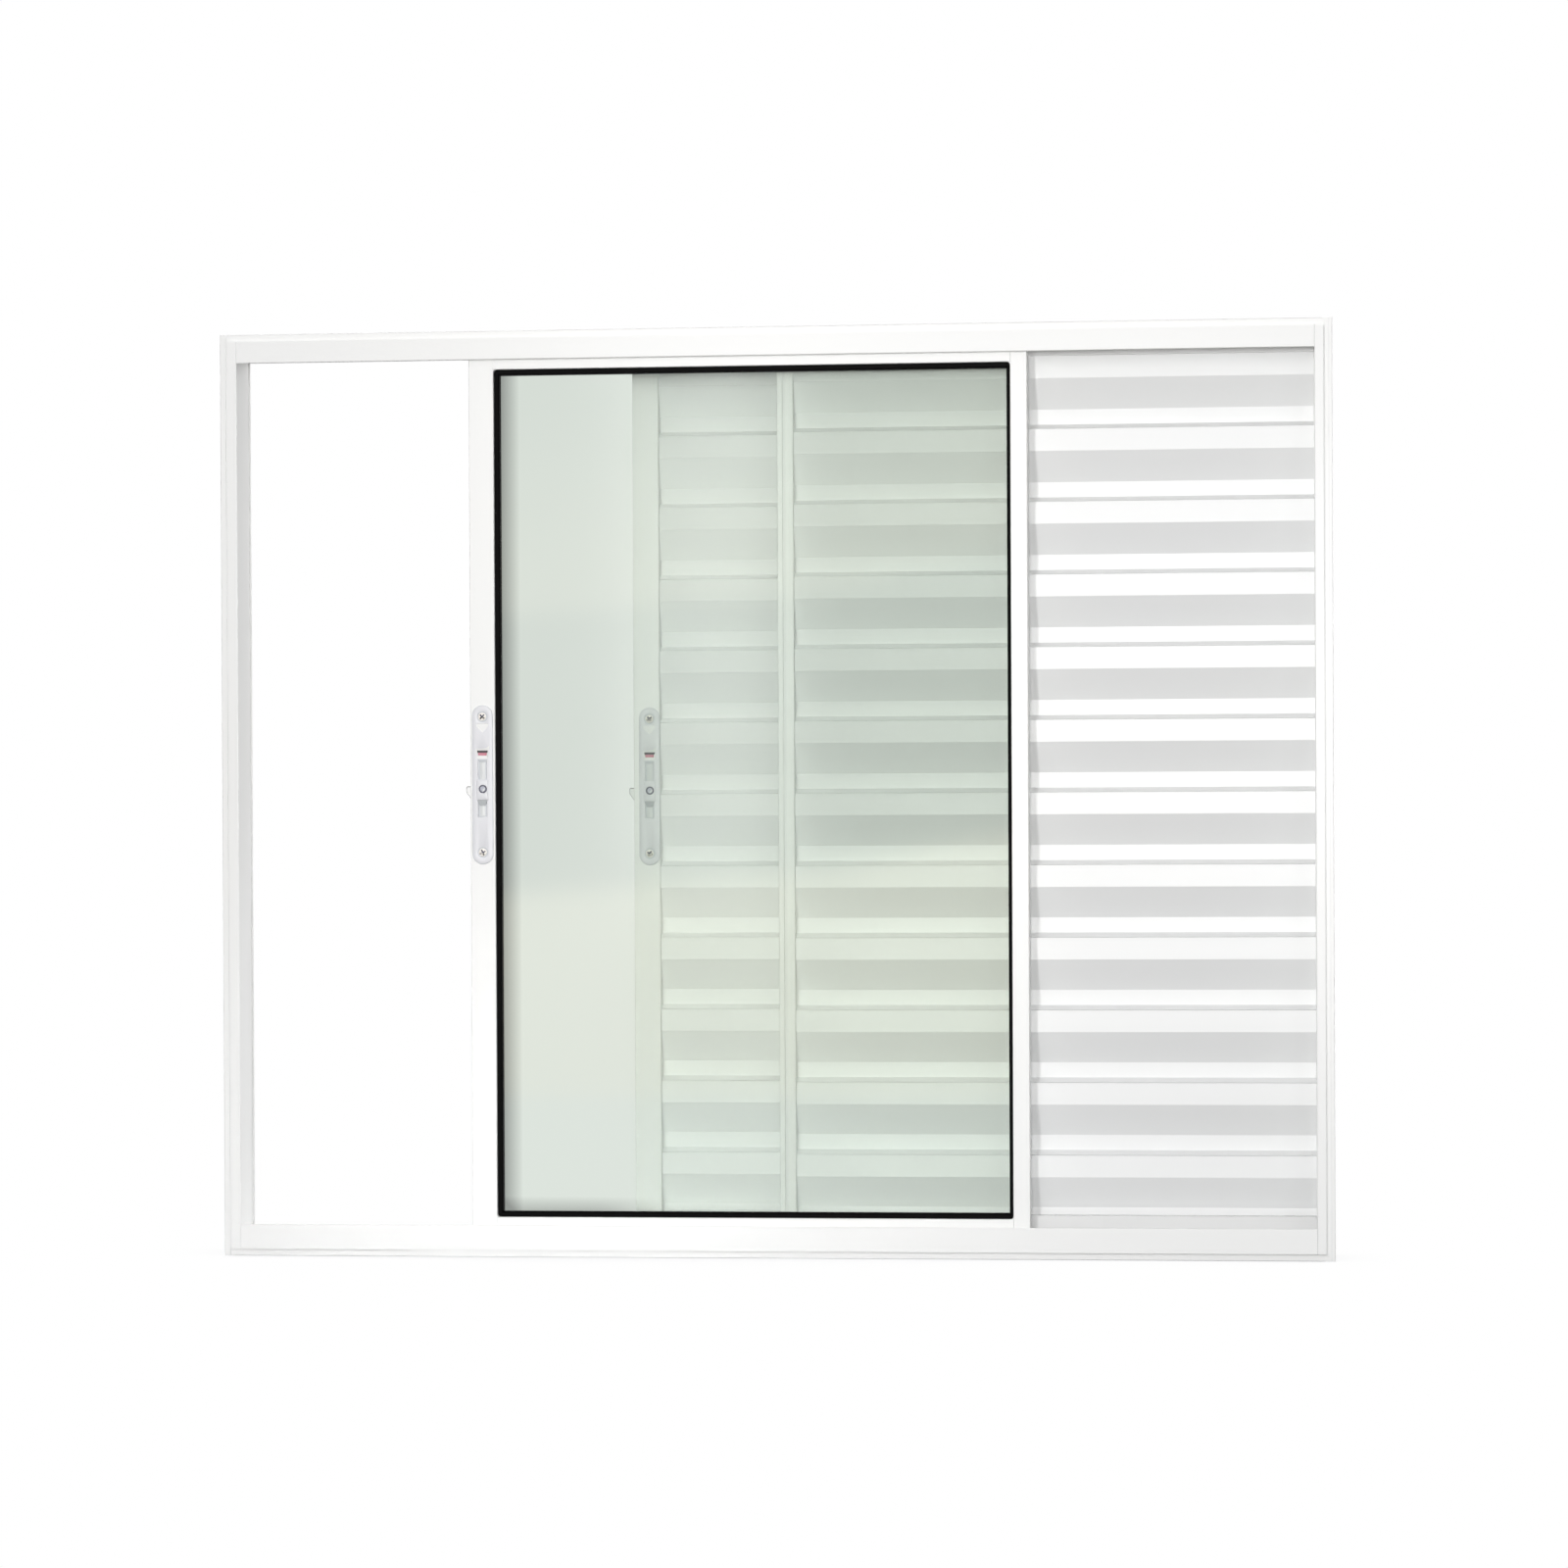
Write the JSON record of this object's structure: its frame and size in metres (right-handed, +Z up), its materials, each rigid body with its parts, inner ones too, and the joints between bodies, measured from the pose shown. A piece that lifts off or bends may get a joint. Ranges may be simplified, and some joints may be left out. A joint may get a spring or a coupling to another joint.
{
  "type": "louvred sliding window",
  "caption": "White aluminium sliding window with a clear glass leaf in front, two louvred leaves behind and slim recessed locks.",
  "frame": {"origin": "centre of the sill's underside, half way through the frame's depth", "axes": "+Z up, +X to the right as seen from the room, +Y through the wall to the outside"},
  "size_m": [1.2, 0.095, 1],
  "materials": {
    "black_gasket": "matte",
    "black_plastic": "matte",
    "clear_glass": "polished",
    "grey_nylon": "matte",
    "red_indicator": "gloss",
    "steel_fittings": "brushed",
    "white_blades": "satin",
    "white_frame": "satin",
    "white_leaf": "satin",
    "white_plastic": "gloss"
  },
  "bodies": {
    "root": {"fixed_leaf_blades": "white_blades", "fixed_leaf_bottom_rail": "white_leaf", "fixed_leaf_jamb_stile": "white_leaf", "fixed_leaf_meeting_stile": "white_leaf", "fixed_leaf_packers": "black_plastic", "fixed_leaf_top_rail": "white_leaf", "frame_head": "white_frame", "frame_head_fins": "white_frame", "frame_jamb_left": "white_frame", "frame_jamb_right": "white_frame", "frame_sill": "white_frame", "frame_sill_lips": "white_frame", "frame_sill_tracks": "white_frame", "glass_gasket": "black_gasket", "glass_leaf_bottom_rail": "white_leaf", "glass_leaf_guides": "black_plastic", "glass_leaf_lock_stile": "white_leaf", "glass_leaf_meeting_stile": "white_leaf", "glass_leaf_roller_bodies": "black_plastic", "glass_leaf_top_rail": "white_leaf", "glass_leaf_wheels": "grey_nylon", "glass_lock_hook": "white_plastic", "glass_lock_indicator": "red_indicator", "glass_lock_plate": "white_plastic", "glass_lock_slider": "white_plastic", "glass_pane": "clear_glass", "jamb_keeper": "steel_fittings", "louvre_leaf_blades": "white_blades", "louvre_leaf_bottom_rail": "white_leaf", "louvre_leaf_guides": "black_plastic", "louvre_leaf_lock_stile": "white_leaf", "louvre_leaf_meeting_stile": "white_leaf", "louvre_leaf_roller_bodies": "black_plastic", "louvre_leaf_top_rail": "white_leaf", "louvre_leaf_wheels": "grey_nylon", "louvre_lock_hook": "white_plastic", "louvre_lock_indicator": "red_indicator", "louvre_lock_plate": "white_plastic", "louvre_lock_slider": "white_plastic"}
  },
  "joints": []
}
